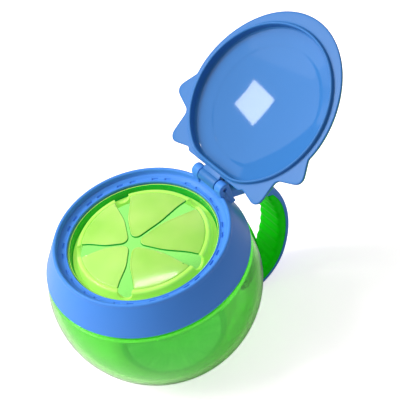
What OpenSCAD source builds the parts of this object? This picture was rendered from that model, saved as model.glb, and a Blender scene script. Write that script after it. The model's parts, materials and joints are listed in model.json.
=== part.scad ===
// Toddler snack container: tinted round bowl, turn-off collar with a hinged lobed lid,
// a soft insert with five spring-back flaps, and a C-shaped handle with a ribbed grip.
// Millimetres. +Z up, Z = 0 is the table, the hinge and handle are at +Y, the lid tab at -Y.
// Drawn at rest as in use: collar home, flaps level, lid swung open over the handle.

/* [Bowl] */
// How far the bowl swells out beyond the mouth
bowl_bulge = 13.8; // [12:0.1:16]
// Radius of the flat that the bowl stands on
base_r = 24.1; // [20:0.1:28]
// Wall thickness of the bowl
bowl_wall = 2.2; // [1.8:0.1:2.8]

/* [Collar] */
// Radius of the open mouth in the collar's ledge
mouth_r = 34.2; // [30:0.1:38.5]
// Collar's lower edge above the bowl's widest point
collar_rise = 14.3; // [12.5:0.1:16]
// Height of the collar from its lower edge to its crest
collar_h = 14.7; // [13.5:0.1:17]
// Width of the ledge round the mouth
ledge_w = 4.25; // [3.8:0.05:4.8]
// Thickness of the crest
crest_t = 1.9; // [1.6:0.1:2.2]
// Depth of the ledge below the crest
ledge_drop = 3.4; // [3:0.1:5]
// Pairs of short marks moulded in the ledge
mark_pairs = 14; // [8:1:16]
// Thickness of the collar's skin and ledge
collar_wall = 1.8; // [1.5:0.1:2.1]

/* [Flap insert] */
// Distance from the mouth's edge in to the island that carries the flaps
trough_w = 6.05; // [5.3:0.05:7]
// Island's edge above the ledge
island_rise = 0.1; // [-0.4:0.1:0.8]
// Middle of the flaps above the island's edge
dome_rise = 2.8; // [1.5:0.1:3.5]
// Depth of the trough below the ledge
trough_depth = 4.7; // [4.2:0.1:5.6]
// Thickness of the soft flaps
flap_t = 1.1; // [0.9:0.05:1.3]
// Shift of the star's middle towards the front
star_shift = 5.9; // [0:0.1:7]
// Turn of the star about the bowl's axis, degrees
star_turn = 0; // [-36:1:36]
// Slot width between neighbouring flaps
slot_w = 1.1; // [0.8:0.1:1.6]
// Slot width at the island's edge
slot_end_w = 6.8; // [4:0.1:8]
// Radius of each flap's rounded tip
tip_r = 3.0; // [2:0.1:3.6]

/* [Lid] */
// Angle the lid is swung open in the drawing, degrees
lid_open = 151; // [0:1:151]
// Play between the crest and the lid's skirt
skirt_play = 1.15; // [1:0.05:1.6]
// Thickness of the skirt
skirt_t = 1.1; // [0.9:0.1:1.3]
// Depth of the skirt below the flange
skirt_h = 2.4; // [1.8:0.1:2.8]
// Gap between the crest and the shut lid's flange
seat_gap = 0.6; // [0.3:0.1:0.8]
// Reach of the flange beyond the middle of the crest, beside the lobes
flange_over = 0.8; // [0.6:0.1:2]
// Thickness of the flange
flange_t = 1.0; // [0.8:0.1:1.3]
// Extra reach of the finger tab at the front
tab_reach = 3.7; // [2:0.1:6]
// Reach of the lobes beyond the middle of the crest
lobe_out = 7.2; // [4.6:0.1:8.6]
// Radius of the lobes' rounded tips
lobe_tip_r = 3.7; // [3:0.1:4.5]
// Height of the hollow's upright wall above the flange's underside
well_h = 1.3; // [1:0.1:2.5]
// Radius of the bend from that wall to the sloping ring
bend_r = 1.2; // [0.8:0.1:2]
// Slope of the ring and of the dome's foot, degrees
ring_slope = 15; // [8:1:18]
// Distance from the wall in to the step
ring_w = 7.1; // [5:0.1:9]
// Width of the step
step_w = 1.6; // [1:0.1:3]
// Height of the step up to the dome
step_h = 0.3; // [0.1:0.1:1.5]
// Thickness of the lid's inner shell
shell_t = 1.2; // [1:0.1:1.5]
// Thickness of the lid's outer cover
cover_t = 1.0; // [0.8:0.1:1.3]
// Thickness of the cover where it backs the flange
rim_t = 0.7; // [0.6:0.1:1]
// Set-back of the cover's edge from the flange's
rim_back = 0.4; // [0.2:0.1:1]

/* [Hinge] */
// Distance of the hinge pin behind the middle of the crest
hinge_back = 1.0; // [0.8:0.1:1.6]
// Height of the pin above the crest
hinge_rise = 2.8; // [2.7:0.1:3.3]
// Radius of the hinge barrels
barrel_r = 3.0; // [2.7:0.1:3.1]
// Radius of the hinge pin
pin_r = 1.1; // [0.9:0.05:1.3]
// Half width of the lid's knuckle
knuckle_x = 5.6; // [4.5:0.1:6.2]
// Width of each ear on the collar
ear_w = 4.4; // [3.6:0.1:5]

/* [Handle] */
// Width of the handle
handle_w = 15; // [12:0.5:17]
// Thickness of the handle's neck and heel
handle_t = 6.1; // [5.6:0.1:6.3]
// Thickness of the strap and grip together
grip_t = 5.6; // [5:0.1:6.6]
// How far the handle stands out beyond the bowl
handle_out = 21.5; // [18:0.5:26]
// Height of the handle's heel above the table
heel_z = 0.7; // [0.5:0.1:4]
// Height of the handle's root above the collar's lower edge
root_up = 13.2; // [13.1:0.1:13.6]
// Thickness of the strap behind the grip
strap_t = 2.0; // [1.6:0.1:2.6]
// Number of finger ribs on the grip
grip_ribs = 12; // [6:1:14]

/* [Hidden] */
$fn = 96;
gap = 0.3;                       // seat between parts that part or turn
fine = 0.05;                     // joint between parts that stay together
e = 0.01;
R = mouth_r + bowl_bulge;
zc = sqrt(R * R - base_r * base_r);
shoulder_z = zc + collar_rise - gap;
low_z = zc + collar_rise;
crest_z = low_z + collar_h;
ledge_z = crest_z - ledge_drop;
ledge_t = collar_wall - 0.3;
skin_r = sqrt(R * R - collar_rise * collar_rise) + 0.45;
crest_in = mouth_r + ledge_w;
crest_r = crest_in + crest_t;
crest_mid = crest_in + crest_t / 2;
sleeve_in = mouth_r + 4.7;
sleeve_t = 1.5;
neck_r = sleeve_in - gap;
neck_in = neck_r - bowl_wall;
neck_top = ledge_z - ledge_t - 1.8;
flange_top = neck_top + 1.5;
island_r = mouth_r - trough_w;
island_z = ledge_z + island_rise;
trough_z = ledge_z - trough_depth;
cap_r = (island_r * island_r + dome_rise * dome_rise) / (2 * dome_rise);
cap_z = island_z + dome_rise - cap_r;
flap_edge = island_r - gap;
star_c = [0, -star_shift];
skirt_r = crest_in - skirt_play - skirt_t;
flange_r = crest_mid + flange_over;
lobe_reach = crest_mid + lobe_out;
hinge_y = crest_mid + hinge_back;
hz = crest_z + hinge_rise;
seat_z = crest_z + seat_gap;     // underside of the lid's flange when shut
rear_y = hinge_y - barrel_r - 0.8;
chord_y = rear_y - 2.4;
pin_run = 0.07;
open_limit = 151;                // furthest the lid swings
ear_in = knuckle_x + gap;
ear_out = ear_in + ear_w;
block_w = handle_w / 2 - 0.1;
tall = 2 * crest_z;              // more than the height of anything that is cut
wide = 2 * R;
root_y = hinge_y + barrel_r + fine;
// Handle: a neck and three tangent arcs, from the root on the collar to the heel near the table.
// The arcs keep their proportions, and their size spans the height from heel to root.
a1 = 26;
a2 = -33;
b_end = 66;
c_end = -100;
kb = 25 / 42;
kc = 24 / 42;
k_up = kc - (1 - kc) * sin(a2) + (1 - kb) * sin(a1) + kb * sin(b_end);
k_out = (1 - kb) * cos(a1) + kb * cos(b_end) - 1;
handle_reach = R + handle_out;
ra = (low_z + root_up - heel_z - (handle_reach - root_y) / tan(b_end)) / (k_up + k_out / tan(b_end));
rb = kb * ra;
rc = kc * ra;
ay = handle_reach - ra;
az = heel_z + rc - (ra - rc) * sin(a2);
by = ay + (ra - rb) * cos(a1);
bz = az + (ra - rb) * sin(a1);
cy = ay + (ra - rc) * cos(a2);
cz = az + (ra - rc) * sin(a2);

function polar(r, a) = [r * cos(a), r * sin(a)];
function unit(v) = v / norm(v);
function ang(v) = atan2(v[1], v[0]);
function side(v) = [-v[1], v[0]];
// tangent point on circle (c, r) seen from p; s picks the side
function tangent(p, c, r, s) =
    let (v = c - p, d = norm(v), b = asin(r / d), l = sqrt(d * d - r * r)) p + polar(l, ang(v) + s * b);

// Bowl
module bowl() {
    color([0.27, 0.82, 0.31, 0.55])
    difference() {
        union() {
            intersection() {
                translate([0, 0, zc]) sphere(r = R);
                cylinder(h = shoulder_z, r = wide);
            }
            translate([0, 0, shoulder_z - e]) cylinder(h = neck_top - shoulder_z + e, r = neck_r);
        }
        intersection() {
            translate([0, 0, zc]) sphere(r = R - bowl_wall);
            translate([0, 0, bowl_wall + 0.3])
                cylinder(h = shoulder_z - 2 * bowl_wall - 0.3, r = wide);
        }
        translate([0, 0, shoulder_z - bowl_wall - 1]) cylinder(h = tall, r = neck_in);
    }
}

// Collar with its ledge, hinge ears and marks
module collar_section() {
    c = crest_t / 2;
    k = (skin_r - crest_r) / (crest_z - c - low_z);
    inner = skin_r - collar_wall * sqrt(1 + k * k);
    roof = ledge_z - ledge_t - 0.3;
    polygon([[skin_r, low_z], [crest_r, crest_z - c], [crest_in, crest_z - c],
             [crest_in - 0.1, ledge_z + 0.9], [mouth_r + ledge_w * 0.6, ledge_z + 0.15],
             [mouth_r + ledge_w * 0.28, ledge_z], [mouth_r + 0.7, ledge_z + 0.4],
             [mouth_r + 0.35, ledge_z + 0.4], [mouth_r, ledge_z],
             [mouth_r, ledge_z - ledge_t], [sleeve_in, ledge_z - ledge_t],
             [sleeve_in, low_z + 0.8], [sleeve_in + sleeve_t, low_z + 0.8],
             [sleeve_in + sleeve_t, min(roof, low_z + (inner - sleeve_in - sleeve_t) / k - 1)],
             [inner, low_z]]);
    translate([crest_mid, crest_z - c]) intersection() {
        circle(r = c);
        translate([-crest_t, -crest_t]) square([2 * crest_t, crest_t + c]);
    }
}

module ear(s) {
    x0 = s > 0 ? ear_in : -ear_out;
    translate([x0, 0, 0]) rotate([90, 0, 90]) linear_extrude(ear_w) {
        translate([hinge_y, hz]) circle(r = barrel_r);
        polygon([[hinge_y - barrel_r, hz], [hinge_y - barrel_r, ledge_z + 1.5],
                 [hinge_y - 1.5, low_z + 7], [hinge_y + barrel_r - 0.9, low_z + 7.2],
                 [hinge_y + barrel_r, hz]]);
    }
}

module marks() {
    for (i = [0 : mark_pairs - 1], s = [-1, 1])
        rotate([0, 0, 90 + (i - 0.5) * 360 / mark_pairs + s * 4.8])
            translate([mouth_r + ledge_w / 2 - 0.65, -1.4, ledge_z - 0.55]) cube([0.9, 2.8, 2]);
}

module collar() {
    color([0.30, 0.52, 0.85])
    difference() {
        union() {
            rotate_extrude() collar_section();
            ear(1);
            ear(-1);
            // block behind the knuckle that takes the handle's tongue
            difference() {
                translate([-block_w, hinge_y - 2.6, low_z + 5])
                    cube([2 * block_w, barrel_r + 2.6, crest_z - low_z - 6.2]);
                translate([0, 0, low_z]) cylinder(h = tall, r = crest_mid);
            }
        }
        // the mouth and thread bore stay clear of the ears and block
        translate([0, 0, low_z]) cylinder(h = ledge_z - low_z - ledge_t, r = sleeve_in);
        translate([0, 0, ledge_z + 1]) cylinder(h = crest_z - ledge_z - 1.2, r = crest_in - 0.25);
        // relief round the knuckle
        translate([-ear_in, hinge_y, hz]) rotate([0, 90, 0])
            cylinder(h = 2 * ear_in, r = barrel_r + 0.35);
        translate([-ear_in, rear_y - 3, hz - 1.9]) cube([2 * ear_in, hinge_y - rear_y + 3, 6]);
        // pin bore
        translate([-wide / 2, hinge_y, hz]) rotate([0, 90, 0]) cylinder(h = wide, r = pin_r + fine);
        // socket for the tongue
        translate([-block_w + 2.5, hinge_y + barrel_r - 3, low_z + 6.3])
            cube([2 * block_w - 5, 4, 3.6]);
        marks();
    }
}

// Flap insert
// points along an arc
function arc(c, r, f, g, n) = [for (i = [0 : n]) c + polar(r, f + (g - f) * i / n)];

module ring_section() {
    t = flap_t;
    top = island_r + 0.8;
    foot = island_r + 2.3;
    wall_in = mouth_r - 1.1;
    wall_out = mouth_r - gap;
    lip = ledge_z - 0.9;
    polygon(concat(
        [[wall_in, lip - 0.3], [wall_in + 0.3, lip], [wall_out - 0.2, lip], [wall_out, lip - 0.2],
         [wall_out, flange_top], [neck_r - 0.3, flange_top], [neck_r - 0.3, neck_top + gap],
         [mouth_r + 0.1, neck_top + gap], [mouth_r + 0.1, trough_z - 1], [foot - 1.1, trough_z - 1],
         [top - 0.05, island_z - t], [island_r, island_z - t], [island_r, island_z]],
        arc([top, island_z - 1.2], 1.2, 90, 14, 7),
        [[foot, trough_z + 0.7], [foot + 0.5, trough_z], [wall_in - 0.5, trough_z],
         [wall_in, trough_z + 0.5]]));
}

module slot_notch(a) {
    deep = island_z - trough_z - 0.7;
    w = slot_end_w;
    rotate([0, 0, a]) translate([island_r - 1.5, 0, island_z]) rotate([90, 0, 90])
        linear_extrude(foot_reach()) {
            translate([-w / 2, -deep + w / 3]) square([w, deep - w / 3 + 1]);
            intersection() {
                translate([0, -deep + w / 2]) circle(r = w / 2);
                translate([-w / 2, -deep]) square([w, w]);
            }
        }
}
function foot_reach() = trough_w - 1.1 - 0.4 + 1.0;

module flap_ring() {
    color([0.62, 0.90, 0.38, 0.6])
    difference() {
        rotate_extrude() ring_section();
        for (k = [0 : 4]) slot_notch(90 + star_turn + 72 * k);
    }
}

function rim_at(k) = polar(island_r, 90 + star_turn + 72 * k);
// half width of the slot: narrow for the inner half, then a smooth teardrop
function half_slot(t) =
    let (u = max(0, (t - 0.42) / 0.58)) slot_w / 2 + (slot_end_w - slot_w) / 2 * (u * u * (3 - 2 * u));

// outline of the flap between slot k and slot k + 1
function flap_points(k) =
    let (p = rim_at(k) - star_c, q = rim_at(k + 1) - star_c, u = unit(p), v = unit(q),
         b = acos(u * v) / 2, m = unit(u + v), n = 8, h = slot_w / 2,
         run = (h + tip_r) / tan(b), mid = star_c + m * (h + tip_r) / sin(b),
         from = star_c + u * run + side(u) * h, to = star_c + v * run - side(v) * h,
         f0 = ang(from - mid), f1 = ang(to - mid))
    concat(
        [for (i = [0 : n]) mid + polar(tip_r, f1 + turn(f1, f0) * i / n)],
        [for (i = [1 : 12]) let (t = run / norm(p) + (1.06 - run / norm(p)) * i / 12)
            star_c + p * t + side(u) * half_slot(t)],
        [polar(island_r * 1.3, ang(rim_at(k)) + 24), polar(island_r * 1.3, ang(rim_at(k)) + 48)],
        [for (i = [12 : -1 : 1]) let (t = run / norm(q) + (1.06 - run / norm(q)) * i / 12)
            star_c + q * t - side(v) * half_slot(t)]);
// signed turn from a to b by the short way
function turn(a, b) = (b - a + 900) % 360 - 180;

module flap(k) {
    color([0.66, 0.92, 0.42, 0.6])
    intersection() {
        difference() {
            translate([0, 0, cap_z]) sphere(r = cap_r);
            translate([0, 0, cap_z]) sphere(r = cap_r - flap_t);
        }
        translate([0, 0, island_z - flap_t - 1]) linear_extrude(dome_rise + flap_t + 3)
            polygon(flap_points(k));
        translate([0, 0, island_z - flap_t - 1]) cylinder(h = dome_rise + flap_t + 3, r = flap_edge);
    }
}
module flap_1() { flap(0); }
module flap_2() { flap(1); }
module flap_3() { flap(2); }
module flap_4() { flap(3); }
module flap_5() { flap(4); }

// Lid
// Height of the lid's hollow above the flange's underside, at radius r inside its wall: a sloping
// ring, a smooth step and a shallow dome.
function hollow_z(r) =
    let (t = tan(ring_slope), rs = skirt_r - ring_w, rd = rs - step_w, foot = well_h + bend_r)
    foot + (r > rd ? (skirt_r - r) * t : (skirt_r - rd) * t + (rd * rd - r * r) * t / (2 * rd))
    + step_h * ease((rs - r) / step_w);

// filled half section of the hollow, grown outwards by o, from height z0 up
module pan_section(z0, o) {
    rs = skirt_r - ring_w;
    rd = rs - step_w;
    polygon(concat(
        [[0, z0], [skirt_r + o, z0]],
        arc([skirt_r - bend_r, seat_z + well_h], bend_r + o, 0, 90 - ring_slope, 6),
        [for (i = [0 : 6]) let (r = rs - step_w * i / 6) [r, seat_z + hollow_z(r) + o]],
        [for (i = [1 : 8]) let (r = rd * (1 - i / 8)) [r, seat_z + hollow_z(r) + o]]));
}

// rounded lobe from base point q round tip centre c to base point p
function lobe(q, c, p, r) =
    let (tq = tangent(q, c, r, -1), tp = tangent(p, c, r, 1), f = ang(tq - c))
    concat([q], arc(c, r, f, f + turn(f, ang(tp - c)), 10), [p]);

// right half of the flange, from the tab at the front to the hinge, drawn in by b
function half_outline(b) = concat(
    [for (a = [-87 : 3 : 6]) let (f = max(0, -sin(a))) polar(flange_r - b + tab_reach * f * f * f, a)],
    lobe(polar(flange_r - 0.1 - b, 10.2), polar(lobe_reach - lobe_tip_r, 21.8),
         polar(flange_r - 0.3 - b, 34.2), lobe_tip_r - b),
    lobe(polar(flange_r - 0.2 - b, 37.4), polar(lobe_reach + 0.8 - lobe_tip_r, 50.2),
         [18, rear_y - b], lobe_tip_r - b));

module flange_outline(b) {
    h = half_outline(b);
    n = len(h);
    polygon(concat([[0, b - flange_r - tab_reach]], h, [for (i = [1 : n]) [-h[n - i][0], h[n - i][1]]]));
}

module swing() {
    translate([0, hinge_y, hz]) rotate([-lid_open, 0, 0]) translate([0, -hinge_y, -hz]) children();
}

// everything in front of the plane y = back
module ahead(back) {
    translate([-wide, -2 * wide, 0]) cube([2 * wide, 2 * wide + back, tall]);
}

module lid_shell() {
    color([0.30, 0.54, 0.88]) swing()
    difference() {
        union() {
            translate([0, 0, seat_z]) linear_extrude(flange_t) flange_outline(0);
            intersection() {
                rotate_extrude() {
                    translate([0, seat_z - skirt_h]) square([skirt_r + skirt_t, skirt_h + 0.5]);
                    pan_section(seat_z, shell_t);
                }
                ahead(chord_y + 1.1);
            }
            // knuckle and its web
            translate([-knuckle_x, hinge_y, hz]) rotate([0, 90, 0])
                cylinder(h = 2 * knuckle_x, r = barrel_r);
            translate([-knuckle_x, rear_y - 1, seat_z]) cube([2 * knuckle_x, hinge_y - rear_y + 1, flange_t]);
            translate([-knuckle_x, rear_y + 0.1, seat_z])
                cube([2 * knuckle_x, hinge_y - rear_y, flange_t + 1.5]);
        }
        intersection() {
            rotate_extrude() pan_section(seat_z - skirt_h - 1, 0);
            ahead(chord_y);
        }
        translate([-wide / 2, hinge_y, hz]) rotate([0, 90, 0]) cylinder(h = wide, r = pin_r + pin_run);
    }
}

module lid_cover() {
    base = seat_z + flange_t + fine;
    color([0.28, 0.78, 0.25]) swing()
    difference() {
        union() {
            translate([0, 0, base]) linear_extrude(rim_t) flange_outline(rim_back);
            intersection() {
                rotate_extrude() pan_section(base, shell_t + fine + cover_t);
                ahead(rear_y - rim_back);
            }
        }
        intersection() {
            rotate_extrude() pan_section(base - 2, shell_t + fine);
            ahead(chord_y + 1.1 + fine);
        }
    }
}

module hinge_pin() {
    color([0.72, 0.74, 0.78])
    translate([-ear_out + 0.9, hinge_y, hz]) rotate([0, 90, 0])
        cylinder(h = 2 * ear_out - 1.8, r = pin_r);
}

// Handle
// The handle's outer line: a straight neck, then three arcs that run on smoothly.
len_n = (by + rb * cos(b_end) - root_y) / sin(b_end);
len_b = rb * (b_end - a1) * PI / 180;
len_a = ra * (a1 - a2) * PI / 180;
len_c = rc * (a2 - c_end) * PI / 180;
len_all = len_n + len_b + len_a + len_c;
function deg_of(l, r) = l / r * 180 / PI;
// [centre y, centre z, radius, angle] of the outer line at length l from the root
function line_at(l) =
    l < len_n + len_b ? [by, bz, rb, b_end - deg_of(max(0, l - len_n), rb)]
    : l < len_n + len_b + len_a ? [ay, az, ra, a1 - deg_of(l - len_n - len_b, ra)]
    : [cy, cz, rc, a2 - deg_of(l - len_n - len_b - len_a, rc)];
// point of the section at length l: [across] along X, [depth] inwards from the outer line
function bar_point(l, across, depth) =
    let (k = line_at(l), back = max(0, len_n - l) * (1 - depth / tan(b_end) / len_n),
         q = polar(k[2] - depth, k[3]),
         r = q + back * [-sin(k[3]), cos(k[3])])
    [across, k[0] + r[0], k[1] + r[1]];
grip_from = len_n + len_b + 3.0;
grip_to = len_all - 4;
grip_start = grip_from + 0.6;
grip_run = grip_to - grip_start - 0.8;
grip_steps = grip_ribs * 7;
grip_stations = [for (i = [0 : grip_steps]) grip_start + grip_run * i / grip_steps];
function ease(u) = let (v = min(1, max(0, u))) v * v * (3 - 2 * v);
// strap thickness: full at the neck, thin behind the grip
function strap_depth(l) =
    let (thin = strap_t + 1.2 * pow(min(1, max(0, (grip_from + 14 - l) / 14)), 2),
         top = ease((grip_from + 2.0 - l) / 3.4), end = ease((l - grip_to + 1.0) / 3.0))
    thin + (handle_t - thin) * max(top, end);
// half outline of a bar: outer corners ko, inner corners ki, from depth d0 to d1
function bar_ring(w, d0, d1, ko, ki, m) = concat(
    [for (i = [0 : m]) [w - ko + ko * sin(90 * i / m), d0 + ko - ko * cos(90 * i / m)]],
    [for (i = [0 : m]) [w - ki + ki * cos(90 * i / m), d1 - ki + ki * sin(90 * i / m)]],
    [for (i = [0 : m]) [-w + ki - ki * sin(90 * i / m), d1 - ki + ki * cos(90 * i / m)]],
    [for (i = [0 : m]) [-w + ko - ko * cos(90 * i / m), d0 + ko - ko * sin(90 * i / m)]]);

// closed skin over a list of rings, each with n points
module skin(rings) {
    n = len(rings[0]);
    k = len(rings);
    polyhedron(
        points = [for (r = rings, p = r) p],
        faces = concat(
            [[for (j = [0 : n - 1]) j]],
            [for (i = [0 : k - 2], j = [0 : n - 1]) [i * n + j, (i + 1) * n + j, (i + 1) * n + (j + 1) % n]],
            [for (i = [0 : k - 2], j = [0 : n - 1]) [i * n + j, (i + 1) * n + (j + 1) % n, i * n + (j + 1) % n]],
            [[for (j = [n - 1 : -1 : 0]) (k - 1) * n + j]]));
}

module strap_body() {
    w = handle_w / 2;
    m = 4;
    last = grip_start + grip_run;
    stations = concat([for (i = [0 : 29]) grip_start * i / 30], grip_stations,
                      [for (i = [1 : 16]) last + (len_all - last) * i / 16]);
    skin([for (l = stations) let (
            tail = max(0, (l - len_all + 2.6) / 2.6),
            in = 2.2 * (1 - sqrt(1 - 0.98 * tail * tail)), d = strap_depth(l),
            ki = max(0.15, 2 * (d - 2.4) / (handle_t - 2.4)))
        [for (q = bar_ring(w - in, in, d - in, min(1.9, d / 2 - in / 2), min(ki, d / 2 - in / 2), m))
            bar_point(l, q[0], q[1])]]);
}

module grip_body() {
    w = handle_w / 2 - 0.1;
    m = 4;
    skin([for (l = grip_stations) let (
            s = (l - grip_start) / grip_run, wave = 0.45 * (1 - cos(360 * grip_ribs * s)) - 0.2,
            d0 = strap_depth(l) + fine + 0.03,
            d1 = grip_t + wave * min(1, 12 * min(s, 1 - s)) - 0.3 * (s < 0.01 || s > 0.99 ? 1 : 0),
            k = min(1.9, (d1 - d0) * 0.45))
        [for (q = bar_ring(w, d0, max(d1, d0 + 0.5), 0.2, k, m)) bar_point(l, q[0], q[1])]]);
}

module side_extrude(w) {
    translate([-w / 2, 0, 0]) rotate([90, 0, 90]) linear_extrude(w) children();
}

// Face under the open lid, 0.3 mm below the back of its cover, [u] out from the hinge along the lid.
slope = 180 - open_limit;
function rest_at(u) =
    let (d = seat_z + well_h + bend_r + shell_t + fine + cover_t - hz + gap + 0.15
             + max(0, u - barrel_r - 2.4) * tan(ring_slope + 1.6))
    [hinge_y + u * cos(slope) + d * sin(slope), hz + u * sin(slope) - d * cos(slope)];
// height of the neck's outer line above the table
function neck_z(y) = bz + rb * sin(b_end) + (by + rb * cos(b_end) - y) / tan(b_end);

module handle() {
    near = rest_at(barrel_r - 0.3);
    far = rest_at(barrel_r + 5.5);
    end = far[0] + 0.5;
    color([0.26, 0.48, 0.82]) union() {
        strap_body();
        // web that the open lid rests on
        side_extrude(handle_w - 6)
            polygon([[root_y, neck_z(root_y) - 4], [root_y, low_z + 11.6], [root_y + 0.4, low_z + 12.6],
                     [root_y + 0.4, near[1]], near, far, [end, far[1] - 0.8], [end, neck_z(end) - 0.4],
                     [end, neck_z(end) - 3]]);
        // tongue
        translate([-block_w + 2.6, root_y - 2.7, low_z + 6.4]) cube([2 * block_w - 5.2, 5, 3.4]);
    }
}

module handle_grip() {
    color([0.10, 0.66, 0.10]) grip_body();
}

bowl();
collar();
flap_ring();
flap_1();
flap_2();
flap_3();
flap_4();
flap_5();
lid_shell();
lid_cover();
hinge_pin();
handle();
handle_grip();
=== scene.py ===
"""Looks of a toddler snack container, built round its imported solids.

Lengths are in millimetres until a mesh is made. +Z is up, the table is Z = 0, the hinge and the handle are
at +Y, and the lid is drawn swung open.
"""

import json
import logging
import math
from dataclasses import dataclass
from enum import Enum
from typing import Any, Callable, Sequence

import bmesh
import bpy
import numpy as np
from mathutils import Matrix, Vector

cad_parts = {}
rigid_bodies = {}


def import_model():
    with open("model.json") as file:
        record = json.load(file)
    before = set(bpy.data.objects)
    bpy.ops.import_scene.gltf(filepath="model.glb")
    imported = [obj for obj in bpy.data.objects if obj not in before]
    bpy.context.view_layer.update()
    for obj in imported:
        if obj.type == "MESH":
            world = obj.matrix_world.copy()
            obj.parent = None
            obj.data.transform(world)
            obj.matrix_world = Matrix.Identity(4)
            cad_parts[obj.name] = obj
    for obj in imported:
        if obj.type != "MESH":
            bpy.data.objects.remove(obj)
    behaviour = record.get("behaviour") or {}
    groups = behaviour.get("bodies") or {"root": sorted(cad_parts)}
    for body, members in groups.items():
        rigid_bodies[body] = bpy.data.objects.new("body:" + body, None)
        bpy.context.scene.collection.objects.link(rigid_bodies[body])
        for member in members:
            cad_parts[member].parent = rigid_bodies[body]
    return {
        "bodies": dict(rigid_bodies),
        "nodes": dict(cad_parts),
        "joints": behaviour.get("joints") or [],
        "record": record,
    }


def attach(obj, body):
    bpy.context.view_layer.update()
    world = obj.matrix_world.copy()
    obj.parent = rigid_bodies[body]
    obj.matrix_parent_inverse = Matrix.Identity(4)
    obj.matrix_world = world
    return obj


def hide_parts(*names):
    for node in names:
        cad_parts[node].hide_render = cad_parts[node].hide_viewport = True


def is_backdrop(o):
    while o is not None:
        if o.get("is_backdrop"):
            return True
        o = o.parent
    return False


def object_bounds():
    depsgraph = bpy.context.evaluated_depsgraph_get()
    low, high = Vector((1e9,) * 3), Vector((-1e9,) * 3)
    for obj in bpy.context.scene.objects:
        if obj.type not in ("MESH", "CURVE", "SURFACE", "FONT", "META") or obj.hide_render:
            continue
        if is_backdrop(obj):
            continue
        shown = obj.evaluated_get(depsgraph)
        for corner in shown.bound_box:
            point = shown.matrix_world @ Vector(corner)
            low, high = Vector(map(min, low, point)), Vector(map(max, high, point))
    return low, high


log = logging.getLogger("snack_container")
MM = 0.001
Array = np.ndarray
Triple = tuple[float, float, float]

# Y and Z of the pin that the lid swings on.
HINGE = (40.4, 73.311)


# Small helpers


def linear(code: str) -> tuple[float, float, float, float]:
    """Turn an sRGB hex colour into linear light.

    Args:
        code: six hex digits, such as "4a86d8".

    Returns:
        Red, green, blue and an alpha of 1, as Blender wants them.
    """
    srgb = np.array([int(code[i : i + 2], 16) for i in (0, 2, 4)]) / 255.0
    low, high = srgb / 12.92, ((srgb + 0.055) / 1.055) ** 2.4
    return (*(float(v) for v in np.where(srgb <= 0.04045, low, high)), 1.0)


def fill(tree: bpy.types.NodeTree, node: bpy.types.Node, values: dict[str | int, Any]) -> None:
    """Set the inputs of a node.

    Args:
        tree: node tree that holds the node.
        node: the node.
        values: input name or index to a constant, or to an output socket to link from.
    """
    for key, value in values.items():
        if isinstance(value, bpy.types.NodeSocket):
            tree.links.new(value, node.inputs[key])
        else:
            node.inputs[key].default_value = value


def add(tree: bpy.types.NodeTree, kind: str, values: dict[str | int, Any] | None = None,
        **settings: Any) -> bpy.types.Node:
    """Add a shader node.

    Args:
        tree: node tree that gets the node.
        kind: node type without its "ShaderNode", such as "TexNoise".
        values: inputs, as fill() takes them.
        settings: attributes to set on the node.

    Returns:
        The new node.
    """
    node = tree.nodes.new("ShaderNode" + kind)
    for name, value in settings.items():
        setattr(node, name, value)
    fill(tree, node, values or {})
    return node


def show(name: str, data: bpy.types.ID) -> bpy.types.Object:
    """Put a mesh, lamp or camera into the scene, as an object at the origin.

    Args:
        name: name of the object.
        data: its mesh, lamp or camera.

    Returns:
        The new object.
    """
    piece = bpy.data.objects.new(name, data)
    bpy.context.scene.collection.objects.link(piece)
    return piece


def smooth(t: Array) -> Array:
    """Ease from 0 to 1: t squared times (3 - 2t), with t held between 0 and 1."""
    t = np.clip(t, 0.0, 1.0)
    return t * t * (3.0 - 2.0 * t)


def polar(angle: float | Array, radius: float | Array = 1.0) -> Array:
    """Points at an angle in radians and a radius, with x and y along the last axis."""
    return np.stack([radius * np.cos(angle), radius * np.sin(angle)], -1)


def bearing(way: Array) -> float:
    """Angle of a direction in the plane, in radians."""
    return math.atan2(way[1], way[0])


def outward(outline: Array) -> Array:
    """Outward unit normals of an outline, square to the line between each point's neighbours.

    Args:
        outline: closed outline, array (n, 2).

    Returns:
        Array (n, 2).
    """
    ahead = np.roll(outline, -1, 0) - np.roll(outline, 1, 0)
    length = np.maximum(np.linalg.norm(ahead, axis=1), 1e-9)
    normal = np.stack([ahead[:, 1], -ahead[:, 0]], 1) / length[:, None]
    x, y = outline.T
    area = float(np.sum(x * np.roll(y, -1) - np.roll(x, -1) * y))
    return normal if area > 0 else -normal


def grid_mesh(name: str, points: Array, torus: bool = False) -> bpy.types.Object:
    """Put a grid of points into a closed mesh of quads, shaded smooth.

    Each row's points join into a loop. The rows join end to end as a torus, or else they make a tube whose
    first and last loops are closed with a polygon each.

    Args:
        name: name of the piece.
        points: array (rows, columns, 3) in millimetres.
        torus: join the last row to the first.

    Returns:
        The new object, with its doubled points merged and its faces turned outwards.
    """
    rows, cols = points.shape[:2]
    i = np.arange(rows if torus else rows - 1)[:, None]
    j = np.arange(cols)[None, :]
    i2, j2 = (i + 1) % rows, (j + 1) % cols
    quads = np.stack(np.broadcast_arrays(i * cols + j, i * cols + j2, i2 * cols + j2, i2 * cols + j), -1)
    faces = quads.reshape(-1, 4).tolist()
    if not torus:
        faces.append(list(range(cols))[::-1])
        faces.append([(rows - 1) * cols + k for k in range(cols)])
    mesh = bpy.data.meshes.new(name)
    mesh.from_pydata((points.reshape(-1, 3) * MM).tolist(), [], faces)
    mesh.update()
    work = bmesh.new()
    work.from_mesh(mesh)
    bmesh.ops.remove_doubles(work, verts=work.verts, dist=0.0002 * MM)
    bmesh.ops.recalc_face_normals(work, faces=work.faces)
    work.to_mesh(mesh)
    work.free()
    mesh.polygons.foreach_set("use_smooth", [True] * len(mesh.polygons))
    mesh.update()
    return show(name, mesh)


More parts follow.
